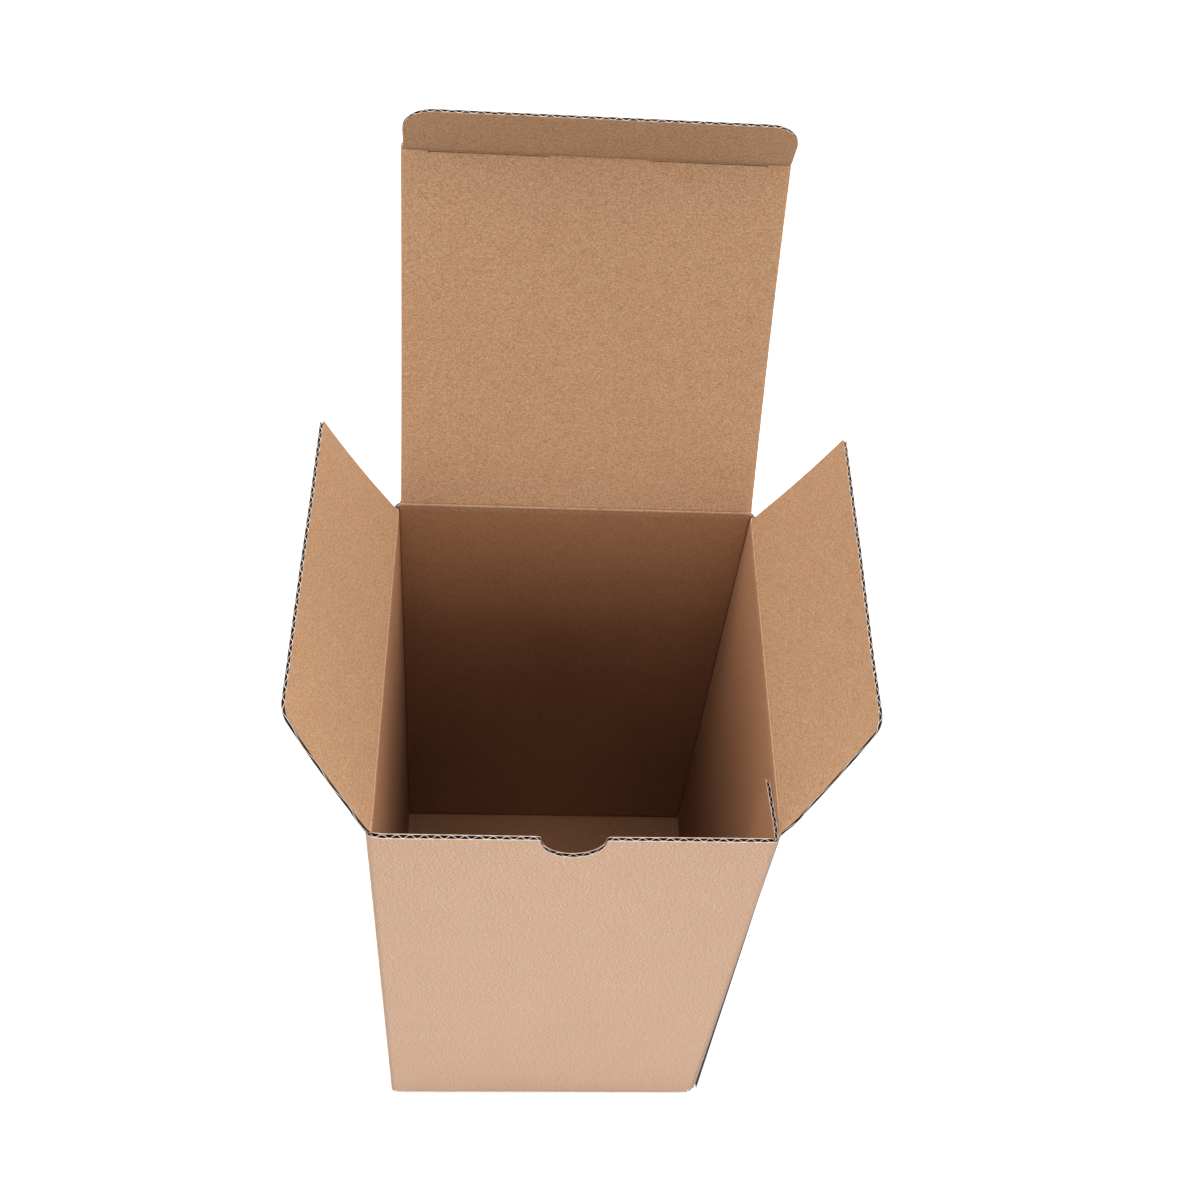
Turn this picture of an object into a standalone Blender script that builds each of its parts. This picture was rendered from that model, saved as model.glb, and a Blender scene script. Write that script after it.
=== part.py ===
"""Candle box: a tuck-top carton folded from one blank of single-wall E-flute board.

Frame: metres, +Z up.  The origin is on the ground under the middle of the box.
-Y is the front, the wall with the thumb notch; the lid is hinged at +Y.

The carton is one sheet.  It is divided only at the creases of the flaps that move:
    box_body          walls, glue flap and the four interlocked bottom flaps
    lid_panel         turns about the crease on top of the back wall
    tuck_flap         turns about the crease at the lid's free edge
    left_dust_flap    turns about the crease on top of the left wall
    right_dust_flap   turns about the crease on top of the right wall

Every crease axis lies on the outer face of the board.  The two board edges beside a crease
are mitred on the inner side, so that a flap can fold square inwards and lie far back
outwards without its board running into the wall's.
"""

import bpy
import bmesh
from math import atan2, cos, pi, radians, sin, tan
from mathutils import Matrix, Vector

# ----------------------------------------------------------------------------- dimensions
# Lengths in millimetres, angles in degrees.  Places on the body are measured from its left
# front bottom corner: x to the right, y to the back, z up.

MM = 0.001

BOARD = 1.5                    # caliper of the board
FRONT_WIDTH = 102.0            # front wall, outside, fold to fold
DEPTH = 104.0                  # outside, front to back
WIDTH = FRONT_WIDTH + BOARD    # the right wall is glued on outside the glue flap
FRONT_TOP = 179.9              # cut top edge of the front wall
SIDE_CREASE = 181.7            # height of the dust flaps' axes
LID_CREASE = 183.5             # height of the lid's axis

FOLD_RADIUS = 1.3              # outside radius of the upright folds
BASE_RADIUS = 1.05             # outside radius of the bottom folds

GLUE_BOARD = 1.1               # the glue flap is pressed thin
GLUE_WIDTH = 20.7
GLUE_TAPER = 15.0              # slope of its top and bottom edges
GLUE_TOP = 179.6
GLUE_BOTTOM = 3.0
GLUE_ROOT = 4.7                # its edges are level up to here, and slope behind
RAW_EDGE = 3.0                 # the right wall's raw upright edge, behind the front face

NOTCH_MIDDLE = 51.0            # the thumb notch
NOTCH_RADIUS = 8.2
NOTCH_DEPTH = 8.9
NOTCH_SHOULDER = 1.0

CREASE_LAND = 0.15             # square land on the outer side of each mitred edge
CREASE_GAP = 0.36              # from a crease's axis to the board edge on either side

LID_WIDTH = 98.9
LID_FLARE = 0.95               # extra width at each end of its crease
LID_LENGTH = 100.0             # lid crease to tuck crease
LID_LEAN = 23.0                # back from upright, as it stands
SLIT_INNER = 12.5              # the two slits beside the tuck crease, from the middle
SLIT_OUTER = 42.75
SLIT_LINE = 99.1               # from the lid crease to the slits' nearer edge

TUCK_WIDTH = 97.0
TUCK_LENGTH = 17.2
TUCK_CORNER = 6.8
TUCK_BEND = 41.5               # forward from the lid's plane, as it stands

DUST_LENGTH = 43.5
DUST_FRONT = 5.8               # front edge at the crease, behind the front face
DUST_REAR = 101.7
DUST_SPLAY = 26.0              # outward from upright, as it stands

LAYER = BOARD + 0.3            # pitch of the stacked bottom flaps, with the air between
FRONT_FLAP_FLAT = 60.0         # the front bottom flap lies flat up to here
TONGUE_END = 86.0
TONGUE_LEFT, TONGUE_RIGHT = 30.0, 72.0
SIDE_FLAP_REACH = 36.0
BACK_FLAP_FRONT = 42.0

KRAFT_OUTSIDE = (0.62, 0.43, 0.29, 1.0)
KRAFT_INSIDE = (0.50, 0.32, 0.19, 1.0)

# --------------------------------------------------------------------------------- helpers


def clear_scene():
    for obj in list(bpy.data.objects):
        bpy.data.objects.remove(obj, do_unlink=True)


def kraft(name, colour):
    material = bpy.data.materials.new(name)
    material.use_nodes = True
    shader = material.node_tree.nodes["Principled BSDF"]
    shader.inputs["Base Color"].default_value = colour
    shader.inputs["Roughness"].default_value = 0.85
    shader.inputs["Metallic"].default_value = 0.0
    material.diffuse_color = colour
    return material


def fillet(corners, segments=4):
    """Polygon of (a, b) or (a, b, radius) corners, each radius turned into an arc."""
    outline = []
    for i, corner in enumerate(corners):
        point = Vector(corner[:2])
        radius = corner[2] if len(corner) > 2 else 0.0
        if radius <= 0.0:
            outline.append(tuple(point))
            continue
        before = (Vector(corners[i - 1][:2]) - point).normalized()
        after = (Vector(corners[(i + 1) % len(corners)][:2]) - point).normalized()
        half = before.angle(after) / 2
        middle = point + (before + after).normalized() * (radius / sin(half))
        first = point + before * (radius / tan(half)) - middle
        last = point + after * (radius / tan(half)) - middle
        start = atan2(first.y, first.x)
        sweep = (atan2(last.y, last.x) - start + pi) % (2 * pi) - pi
        for step in range(segments + 1):
            angle = start + sweep * step / segments
            outline.append((middle.x + radius * cos(angle), middle.y + radius * sin(angle)))
    return outline


def prism(name, outline, axis, low, high):
    """Solid with the given outline, running along an axis from low to high.

    The outline is (x, y) for axis "z", (x, z) for axis "y" and (y, z) for axis "x".
    """
    def place(a, b, c):
        return Vector({"z": (a, b, c), "y": (a, c, b), "x": (c, a, b)}[axis]) * MM

    bm = bmesh.new()
    base = bm.faces.new([bm.verts.new(place(a, b, low)) for a, b in outline])
    grown = bmesh.ops.extrude_face_region(bm, geom=[base])["geom"]
    top = [item for item in grown if isinstance(item, bmesh.types.BMVert)]
    bmesh.ops.translate(bm, verts=top, vec=place(0, 0, high) - place(0, 0, low))
    bmesh.ops.recalc_face_normals(bm, faces=bm.faces)
    mesh = bpy.data.meshes.new(name)
    bm.to_mesh(mesh)
    bm.free()
    obj = bpy.data.objects.new(name, mesh)
    bpy.context.scene.collection.objects.link(obj)
    return obj


def combine(target, other, operation):
    """Join ("UNION"), cut ("DIFFERENCE") or keep what is shared ("INTERSECT")."""
    step = target.modifiers.new(operation.lower(), "BOOLEAN")
    step.operation = operation
    step.solver = "EXACT"
    step.object = other
    bpy.context.view_layer.update()
    evaluated = target.evaluated_get(bpy.context.evaluated_depsgraph_get())
    result = bpy.data.meshes.new_from_object(evaluated)
    target.modifiers.clear()
    target.data = result
    bpy.data.objects.remove(other, do_unlink=True)


def bent_sheet(path):
    """Side view of the board where it follows a path, which is the path of its lower face.
    The board lies to the left of the path's direction."""
    points = [Vector(p) for p in path]
    normals = []
    for here, there in zip(points, points[1:]):
        run = (there - here).normalized()
        normals.append(Vector((-run.y, run.x)))
    upper = []
    for i, point in enumerate(points):
        sides = normals[max(i - 1, 0):i + 1]
        middle = sum(sides, Vector((0.0, 0.0))).normalized()
        upper.append(point + middle * (BOARD / middle.dot(sides[0])))
    return [tuple(p) for p in points] + [tuple(p) for p in reversed(upper)]


def mirrored(outline, about):
    return [(2 * about - corner[0],) + tuple(corner[1:]) for corner in reversed(outline)]


def crease_depth(inward):
    """How far a mitred edge stands from the crease's axis, at a distance inward from the
    board's outer face."""
    return CREASE_GAP + max(0.0, inward - CREASE_LAND)


def finished(obj, name, material):
    obj.name = name
    obj.data.name = name
    obj.data.materials.clear()
    obj.data.materials.append(material)
    for polygon in obj.data.polygons:
        polygon.material_index = 0
    obj.data.shade_smooth()
    obj.data.set_sharp_from_angle(angle=radians(25))
    return obj


# ------------------------------------------------------------------------------------ body


def round_base(ring):
    """Round the outer edge at the foot of the walls, where the bottom flaps fold in."""
    bm = bmesh.new()
    bm.from_mesh(ring.data)
    foot = [edge for edge in bm.edges if all(vert.co.z < 0.5 * MM for vert in edge.verts)]
    bmesh.ops.bevel(bm, geom=foot, offset=BASE_RADIUS * MM, offset_type="OFFSET", segments=4,
                    profile=0.5, affect="EDGES", clamp_overlap=False)
    bmesh.ops.recalc_face_normals(bm, faces=bm.faces)
    bm.to_mesh(ring.data)
    bm.free()


def wall_ring():
    """The four walls and the glue flap, from the ground up, before their tops are cut."""
    outside = fillet([(0, 0, FOLD_RADIUS), (FRONT_WIDTH, 0, FOLD_RADIUS),
                      (FRONT_WIDTH, RAW_EDGE), (WIDTH, RAW_EDGE),
                      (WIDTH, DEPTH, FOLD_RADIUS), (0, DEPTH, FOLD_RADIUS)])
    glue_face = FRONT_WIDTH - GLUE_BOARD
    inside = [(BOARD, BOARD), (glue_face, BOARD), (glue_face, GLUE_WIDTH),
              (FRONT_WIDTH, GLUE_WIDTH), (FRONT_WIDTH, DEPTH - BOARD), (BOARD, DEPTH - BOARD)]
    ring = prism("ring", outside, "z", 0, LID_CREASE)
    round_base(ring)
    combine(ring, prism("hollow", inside, "z", -5, LID_CREASE + 5), "DIFFERENCE")
    return ring


def cut_tops(body):
    high = LID_CREASE + 10
    rise = FRONT_TOP + SIDE_CREASE - CREASE_GAP - FRONT_TOP
    # Front wall, with the short slope up to the side walls at each corner.
    front = [(-1, FRONT_TOP), (BOARD, FRONT_TOP), (BOARD + 1.7, rise + 0.2),
             (BOARD + 1.7, high), (-1, high)]
    combine(body, prism("cut", front, "x", -1, WIDTH + 1), "DIFFERENCE")
    # Side walls, mitred for the dust flaps.
    deep = BOARD + 0.3
    left = [(-1, SIDE_CREASE - CREASE_GAP), (CREASE_LAND, SIDE_CREASE - CREASE_GAP),
            (deep, SIDE_CREASE - crease_depth(deep)), (deep, high), (-1, high)]
    for outline in (left, mirrored(left, WIDTH / 2)):
        combine(body, prism("cut", outline, "y", BOARD + 0.1, DEPTH - BOARD - 0.2), "DIFFERENCE")
    # Back wall, mitred for the lid.
    back = [(DEPTH + 1, LID_CREASE - CREASE_GAP), (DEPTH + 1, high), (DEPTH - deep, high),
            (DEPTH - deep, LID_CREASE - crease_depth(deep)),
            (DEPTH - CREASE_LAND, LID_CREASE - CREASE_GAP)]
    combine(body, prism("cut", back, "x", -1, WIDTH + 1), "DIFFERENCE")


def cut_glue_flap(body):
    slope = tan(radians(GLUE_TAPER))
    end = GLUE_WIDTH + 2
    for level, side in ((GLUE_TOP, 1), (GLUE_BOTTOM, -1)):
        far = level + side * 10
        outline = [(BOARD + 0.1, level), (GLUE_ROOT, level),
                   (end, level - side * slope * (end - GLUE_ROOT)), (end, far), (BOARD + 0.1, far)]
        combine(body, prism("cut", outline, "x", FRONT_WIDTH - GLUE_BOARD - 1, FRONT_WIDTH),
                "DIFFERENCE")


def cut_thumb_notch(body):
    middle_z = FRONT_TOP - NOTCH_DEPTH + NOTCH_RADIUS
    corner_x = NOTCH_RADIUS + NOTCH_SHOULDER
    corner_z = FRONT_TOP - NOTCH_SHOULDER
    right = []
    for step in range(1, 13):      # the round, from its lowest point to its right side
        angle = radians(-90 + 88 * step / 12)
        right.append((NOTCH_RADIUS * cos(angle), middle_z + NOTCH_RADIUS * sin(angle)))
    for step in range(1, 5):       # the rounded shoulder, up to the wall's top edge
        angle = radians(180 - 90 * step / 4)
        right.append((corner_x + NOTCH_SHOULDER * cos(angle),
                      corner_z + NOTCH_SHOULDER * sin(angle)))
    right.append((corner_x, FRONT_TOP + 3))
    outline = [(NOTCH_MIDDLE, middle_z - NOTCH_RADIUS)]
    outline += [(NOTCH_MIDDLE + x, z) for x, z in right]
    outline += [(NOTCH_MIDDLE - x, z) for x, z in reversed(right)]
    combine(body, prism("cut", outline, "y", -1, BOARD + 1), "DIFFERENCE")


def front_bottom_flap():
    """Outermost bottom flap, with its tongue pushed up through the back flap's recess."""
    middle = FRONT_WIDTH / 2
    left = [(middle, 1.2), (2, 1.2), (2, 2.5), (10, 9), (11.5, 50, 5), (17, FRONT_FLAP_FLAT, 4),
            (middle, FRONT_FLAP_FLAT)]
    outline = left + mirrored(left, middle)[1:-1]
    flap = prism("front_flap", fillet(outline), "z", 0, BOARD)
    path = [(FRONT_FLAP_FLAT - 3, 0), (FRONT_FLAP_FLAT, 0),
            (FRONT_FLAP_FLAT + 13, 3 * LAYER), (TONGUE_END, 3 * LAYER)]
    tongue = prism("tongue", bent_sheet(path), "x", TONGUE_LEFT, TONGUE_RIGHT)
    plan = [(TONGUE_LEFT - 1, 50), (TONGUE_RIGHT + 1, 50), (TONGUE_RIGHT + 1, 79),
            (TONGUE_RIGHT - 5, TONGUE_END, 4), (TONGUE_LEFT + 5, TONGUE_END, 4),
            (TONGUE_LEFT - 1, 79)]
    combine(tongue, prism("plan", fillet(plan), "z", -5, 20), "INTERSECT")
    combine(flap, tongue, "UNION")
    return flap


def side_bottom_flap(right):
    """Middle layer of the bottom: folded in from a side wall over the front flap."""
    path = [(1.2, 0), (BOARD, 0), (9, LAYER), (SIDE_FLAP_REACH + 4, LAYER)]
    plan = [(0, 10.5), (SIDE_FLAP_REACH, 14, 5), (SIDE_FLAP_REACH, 52, 3), (28, 60, 2),
            (28, 69, 3), (BOARD, 95.5), (0, 95.5)]
    profile = bent_sheet(path)
    if right:
        profile = mirrored(profile, WIDTH / 2)
        plan = mirrored(plan, WIDTH / 2)
    flap = prism("side_flap", profile, "y", 5, 100)
    combine(flap, prism("plan", fillet(plan), "z", -5, 20), "INTERSECT")
    return flap


def back_bottom_flap():
    """Innermost bottom flap: two lobes beside the recess that holds the tongue."""
    path = [(DEPTH - 0.5, LAYER), (DEPTH - BOARD, LAYER), (95, 2 * LAYER),
            (BACK_FLAP_FRONT - 4, 2 * LAYER)]
    # Read from back to front, the board lies on the right of this path.
    profile = [(2 * DEPTH - y, z) for y, z in path]
    profile = [(2 * DEPTH - y, z) for y, z in bent_sheet(profile)]
    flap = prism("back_flap", profile, "x", 1, WIDTH - 1)
    middle = FRONT_WIDTH / 2 + 0.75
    left = [(middle, DEPTH), (2.5, DEPTH), (2.5, 80), (6, BACK_FLAP_FRONT, 5),
            (TONGUE_LEFT - 4, BACK_FLAP_FRONT, 4), (TONGUE_LEFT - 2, FRONT_FLAP_FLAT + 14.5, 3),
            (middle, FRONT_FLAP_FLAT + 14.5)]
    plan = left + mirrored(left, middle)[1:-1]
    combine(flap, prism("plan", fillet(plan), "z", -5, 20), "INTERSECT")
    return flap


def cut_back_base(body):
    """The back wall stops one layer above the ground, where its flap folds in."""
    r = BASE_RADIUS
    outline = [(DEPTH - BOARD - 0.1, -1), (DEPTH - BOARD - 0.1, LAYER)]
    outline += [(DEPTH - r + r * sin(radians(a)), LAYER + r - r * cos(radians(a)))
                for a in (0, 24, 46, 68)]
    outline += [(DEPTH + 0.05, LAYER + r), (DEPTH + 2, LAYER + r + 1), (DEPTH + 2, -1)]
    combine(body, prism("cut", outline, "x", -1, WIDTH + 1), "DIFFERENCE")


def make_body(material):
    body = wall_ring()
    cut_tops(body)
    cut_glue_flap(body)
    cut_thumb_notch(body)
    combine(body, front_bottom_flap(), "UNION")
    combine(body, side_bottom_flap(right=False), "UNION")
    combine(body, side_bottom_flap(right=True), "UNION")
    combine(body, back_bottom_flap(), "UNION")
    cut_back_base(body)
    body.data.transform(Matrix.Translation((-WIDTH / 2 * MM, -DEPTH / 2 * MM, 0)))
    return finished(body, "box_body", material)


# ----------------------------------------------------------------------------------- flaps
# Each flap is made standing straight up from its crease, with the crease's axis through the
# object's origin and the board's outer face in a plane through that axis.


def make_lid(material):
    """Lid: outer face in the plane y = 0, board towards -y, free edge up."""
    far = LID_LENGTH
    side = [(0, crease_depth(0)), (0, far - crease_depth(0)),
            (-CREASE_LAND, far - CREASE_GAP), (-BOARD, far - crease_depth(BOARD)),
            (-BOARD, crease_depth(BOARD)), (-CREASE_LAND, CREASE_GAP)]
    lid = prism("lid", side, "x", -WIDTH / 2, WIDTH / 2)
    half = LID_WIDTH / 2
    plan = [(-half - LID_FLARE, -1), (half + LID_FLARE, -1), (half + LID_FLARE, 0.4),
            (half, 1.6), (half, far + 1), (-half, far + 1), (-half, 1.6),
            (-half - LID_FLARE, 0.4)]
    combine(lid, prism("plan", plan, "y", -5, 5), "INTERSECT")
    # The slits that lock the lid run beside the tuck crease, and open into it.
    slit = [(SLIT_INNER, far + 1), (SLIT_INNER, SLIT_LINE), (SLIT_OUTER - 0.6, SLIT_LINE),
            (SLIT_OUTER + 0.2, SLIT_LINE - 0.8), (SLIT_OUTER + 0.6, SLIT_LINE - 0.4),
            (SLIT_OUTER, SLIT_LINE + 0.3), (SLIT_OUTER, far + 1)]
    for outline in (slit, mirrored(slit, 0)):
        combine(lid, prism("cut", outline, "y", -5, 5), "DIFFERENCE")
    finished(lid, "lid_panel", material)
    lid.location = (0, DEPTH / 2 * MM, LID_CREASE * MM)
    lid.rotation_euler = (radians(-LID_LEAN), 0, 0)
    return lid


def make_tuck(material, lid):
    """Tuck flap: made like the lid, and carried by it."""
    side = [(0, CREASE_GAP), (0, TUCK_LENGTH), (-BOARD, TUCK_LENGTH),
            (-BOARD, crease_depth(BOARD)), (-CREASE_LAND, CREASE_GAP)]
    tuck = prism("tuck", side, "x", -WIDTH / 2, WIDTH / 2)
    half = TUCK_WIDTH / 2
    plan = [(-half, -1), (half, -1), (half, TUCK_LENGTH, TUCK_CORNER),
            (-half, TUCK_LENGTH, TUCK_CORNER)]
    combine(tuck, prism("plan", fillet(plan, 6), "y", -5, 5), "INTERSECT")
    finished(tuck, "tuck_flap", material)
    tuck.parent = lid
    tuck.location = (0, 0, LID_LENGTH * MM)
    tuck.rotation_euler = (radians(TUCK_BEND), 0, 0)
    return tuck


def make_dust_flap(name, material, side):
    """Dust flap on side -1 (left) or +1 (right): outer face in the plane x = 0, board
    towards the box, free edge up."""
    profile = [(0, CREASE_GAP), (CREASE_LAND, CREASE_GAP), (BOARD, crease_depth(BOARD)),
               (BOARD, DUST_LENGTH), (0, DUST_LENGTH)]
    profile = [(-side * x, z) for x, z in profile]
    flap = prism("flap", profile, "y", -1, DEPTH + 1)
    plan = [(DUST_FRONT, -1), (DUST_REAR, -1), (DUST_REAR, 0.5), (99.8, DUST_LENGTH, 0.8),
            (9.3, DUST_LENGTH, 4.5), (DUST_FRONT, 25)]
    combine(flap, prism("plan", fillet(plan), "x", -5, 5), "INTERSECT")
    flap.data.transform(Matrix.Translation((0, -DEPTH / 2 * MM, 0)))
    finished(flap, name, material)
    flap.location = (side * WIDTH / 2 * MM, 0, SIDE_CREASE * MM)
    flap.rotation_euler = (0, radians(side * DUST_SPLAY), 0)
    return flap


def main():
    clear_scene()
    make_body(kraft("body_kraft", KRAFT_OUTSIDE))
    lid = make_lid(kraft("lid_kraft", KRAFT_INSIDE))
    make_tuck(kraft("tuck_kraft", KRAFT_INSIDE), lid)
    make_dust_flap("left_dust_flap", kraft("left_dust_kraft", KRAFT_INSIDE), -1)
    make_dust_flap("right_dust_flap", kraft("right_dust_kraft", KRAFT_INSIDE), 1)
    bpy.context.view_layer.update()


main()
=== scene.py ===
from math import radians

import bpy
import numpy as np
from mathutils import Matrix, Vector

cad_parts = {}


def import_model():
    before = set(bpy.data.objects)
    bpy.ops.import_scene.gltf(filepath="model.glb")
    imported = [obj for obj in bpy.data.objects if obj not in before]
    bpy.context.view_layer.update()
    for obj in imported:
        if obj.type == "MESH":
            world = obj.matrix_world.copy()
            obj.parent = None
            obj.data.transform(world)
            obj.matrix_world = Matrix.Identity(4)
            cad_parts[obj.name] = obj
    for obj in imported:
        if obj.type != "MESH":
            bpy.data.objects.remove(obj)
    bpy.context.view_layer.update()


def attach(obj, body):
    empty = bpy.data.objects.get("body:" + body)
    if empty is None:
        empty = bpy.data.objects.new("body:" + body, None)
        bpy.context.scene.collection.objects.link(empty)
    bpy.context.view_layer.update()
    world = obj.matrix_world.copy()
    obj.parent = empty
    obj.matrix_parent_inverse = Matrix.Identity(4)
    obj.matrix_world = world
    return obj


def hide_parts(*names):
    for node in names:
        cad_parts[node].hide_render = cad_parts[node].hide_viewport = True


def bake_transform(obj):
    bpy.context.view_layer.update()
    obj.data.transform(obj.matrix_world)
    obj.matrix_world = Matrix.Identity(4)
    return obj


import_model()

# Candle box: the carton's looks, built as its board is built.  Every panel is three separate
# closed sheets: an outside liner, an inside liner and the fluted medium glued between them.
#
# Lengths are millimetres and angles degrees until world() turns them into metres.  A place
# on a sheet is (u, v, n): u across the flutes, v along them, n in from the outer face.
# "Blank" coordinates are those of the one flat sheet that the carton is cut from, so that
# flutes and paper run on from panel to panel.

# ------------------------------------------------------------------------------ dimensions

WIDTH, DEPTH, FRONT = 103.5, 104.0, 102.0
BOARD = 1.5
LINER = 0.22                # the paper of each liner
MEDIUM = 0.16               # the paper of the flutes
FLUTE = 3.365               # pitch of the flutes
FOLD = 1.1                  # outside radius of the upright folds
FOOT = 1.3                  # outside radius of the bottom folds

FRONT_TOP = 179.9
DUST_CREASE = 181.7
LID_CREASE = 183.5
SEAM = 2.0                  # a flap's piece starts this far below its crease
BEND = 0.9                  # half the width of the board that bends at a crease

LID_LENGTH, LID_LEAN = 100.0, 23.0
LID_LEFT, LID_RIGHT = 2.3, 101.55
LID_TAPER = 0.45            # each side of the lid draws in this much towards the tuck flap
LID_SIDEWAYS = 0.8          # the lid stands this far to the right of the middle
LID_BOW, DUST_BOW = 1.9, 0.6   # the flaps bulge outward this much between their ends
SLIT_INNER, SLIT_OUTER, SLIT_MIDDLE = 12.5, 42.85, 52.3
TUCK_LEFT, TUCK_RIGHT = 3.4, 101.1
TUCK_LENGTH, TUCK_BEND, TUCK_CORNER = 16.9, 41.5, 8.2
DUST_LENGTH, DUST_SPLAY = 42.5, 26.0

LAYER = 1.8                 # pitch of the bottom flaps' layers


def world(p):
    return (np.asarray(p, float) - (WIDTH / 2, DEPTH / 2, 0.0)) * 0.001


def smooth(t):
    t = np.clip(t, 0.0, 1.0)
    return t * t * (3 - 2 * t)


def bump(x, middle, width):
    return np.exp(-((x - middle) / width) ** 2)


# ------------------------------------------------------------------------- the standing ring

# Plan of the walls' outer face, as one path from the glue flap's free edge to the right
# wall's raw edge: straight runs and quarter turns.
RUNS = [("line", (101.9, 20.7), (0, -1), 20.7 - FOLD),
        ("arc", (101.9 - FOLD, FOLD), 0.0),
        ("line", (101.9 - FOLD, 0.0), (-1, 0), 101.9 - 2 * FOLD),
        ("arc", (FOLD, FOLD), -90.0),
        ("line", (0.0, FOLD), (0, 1), DEPTH - 2 * FOLD),
        ("arc", (FOLD, DEPTH - FOLD), -180.0),
        ("line", (FOLD, DEPTH), (1, 0), WIDTH - 2 * FOLD),
        ("arc", (WIDTH - FOLD, DEPTH - FOLD), -270.0),
        ("line", (WIDTH, DEPTH - FOLD), (0, -1), DEPTH - FOLD - 3.0)]
TURN = FOLD * np.pi / 2
STARTS = [0.0]
for run in RUNS:
    STARTS.append(STARTS[-1] + (run[3] if run[0] == "line" else TURN))
RING_END = STARTS[-1]
FOLDS = [STARTS[i] + TURN / 2 for i in (1, 3, 5, 7)]


def s_front(x):
    return STARTS[2] + (101.9 - FOLD - x)


PHASE = s_front(4.068)      # a flute's crest on the inside liner, in blank coordinates


def s_left(y):
    return STARTS[4] + (y - FOLD)


def s_back(x):
    return STARTS[6] + (x - FOLD)


def s_right(y):
    return STARTS[8] + (DEPTH - FOLD - y)


def ring_plan(s):
    """Point of the outer face and unit vector inward."""
    x, y = np.zeros_like(s), np.zeros_like(s)
    nx, ny = np.zeros_like(s), np.zeros_like(s)
    last = len(RUNS) - 1
    for i, run in enumerate(RUNS):
        at = s >= STARTS[i] if i == last else (s >= STARTS[i]) & (s < STARTS[i + 1])
        if i == 0:
            at = s < STARTS[1]
        along = s[at] - STARTS[i]
        if run[0] == "line":
            (px, py), (dx, dy) = run[1], run[2]
            x[at], y[at] = px + dx * along, py + dy * along
            nx[at], ny[at] = dy, -dx
        else:
            (cx, cy), start = run[1], run[2]
            a = np.radians(start) - along / FOLD
            x[at], y[at] = cx + FOLD * np.cos(a), cy + FOLD * np.sin(a)
            nx[at], ny[at] = -np.cos(a), -np.sin(a)
    return x, y, nx, ny


# How far the standing box is out of square: shift of each upright corner at its foot and top.
CORNERS = {(0, 0): ((0.35, -0.50), (-0.55, -0.28)), (1, 0): ((-0.85, -0.36), (0.02, 0.18)),
           (0, 1): ((-0.04, 0.18), (1.12, 0.03)), (1, 1): ((-0.85, 0.27), (0.28, 0.27))}


def lean(x, y, z):
    fx, fy, fz = np.clip(x / 102.75, 0, 1), np.clip(y / DEPTH, 0, 1), np.clip(z / 180.0, 0, 1.02)
    dx, dy = np.zeros_like(fx), np.zeros_like(fx)
    for (i, j), (foot, top) in CORNERS.items():
        w = (fx if i else 1 - fx) * (fy if j else 1 - fy)
        dx += w * (foot[0] * (1 - fz) + top[0] * fz)
        dy += w * (foot[1] * (1 - fz) + top[1] * fz)
    return dx, dy


def crush(x, y, z):
    """The right wall's raw edge is crushed against the glue flap, more so towards the top."""
    near = 1 - smooth((y - 1.5) / 6.0)
    return -np.clip(x - 101.9, 0, 1.6) / 1.6 * 1.42 * near * np.clip(z / 146.0, 0, 1)


def place_ring(u, v, n):
    x, y, nx, ny = ring_plan(u)
    x, y = x + nx * n, y + ny * n
    dx, dy = lean(x, y, v)
    return np.stack([x + dx + crush(x, y, v), y + dy, v], -1)


def turned(a, b, angle):
    """(outward, up) turned from up towards outward."""
    c, s = np.cos(np.radians(angle)), np.sin(np.radians(angle))
    return a * c + b * s, b * c - a * s


def bend(v):
    return smooth((v + BEND) / (2 * BEND))


def bowed(n, v, length, rise):
    """(outward, up) of a flap's board, which bulges a little outward between its ends."""
    t = np.clip(v / length, 0, 1)
    slope = np.where((v > 0) & (v < length), 4 * rise / length * (1 - 2 * t), 0.0)
    return 4 * rise * t * (1 - t) - n, v + n * slope


def lid_drift(u, v):
    """The lid follows the out-of-square back wall at its hinge, and straightens above."""
    dx, dy = lean(u, np.full_like(u, DEPTH), np.full_like(u, 181.5))
    above = smooth((v + SEAM) / 26.0)
    return dx * (1 - above) + LID_SIDEWAYS * above, dy * (1 - above)


def place_lid(u, v, n):
    a, b = bowed(n, v, LID_LENGTH, LID_BOW)
    a, b = turned(a, b - LID_LENGTH, -TUCK_BEND * bend(v - LID_LENGTH))
    a, b = turned(a, b + LID_LENGTH, LID_LEAN * bend(v))
    dx, dy = lid_drift(u, v)
    return np.stack([u + dx, DEPTH + a + dy, LID_CREASE + b], -1)


def place_left(u, v, n):
    a, b = turned(*bowed(n, v, DUST_LENGTH, DUST_BOW), DUST_SPLAY * bend(v))
    dx, dy = lean(np.zeros_like(u), u, np.full_like(u, DUST_CREASE))
    return np.stack([-a + dx, u + dy, DUST_CREASE + b], -1)


def place_right(u, v, n):
    a, b = turned(*bowed(n, v, DUST_LENGTH, DUST_BOW), DUST_SPLAY * bend(v))
    dx, dy = lean(np.full_like(u, WIDTH), u, np.full_like(u, DUST_CREASE))
    dx = dx + crush(WIDTH + a, u, 180.0) * (1 - smooth((v - 0.3) / 6.0))
    return np.stack([WIDTH + a + dx, u + dy, DUST_CREASE + b], -1)


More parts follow.
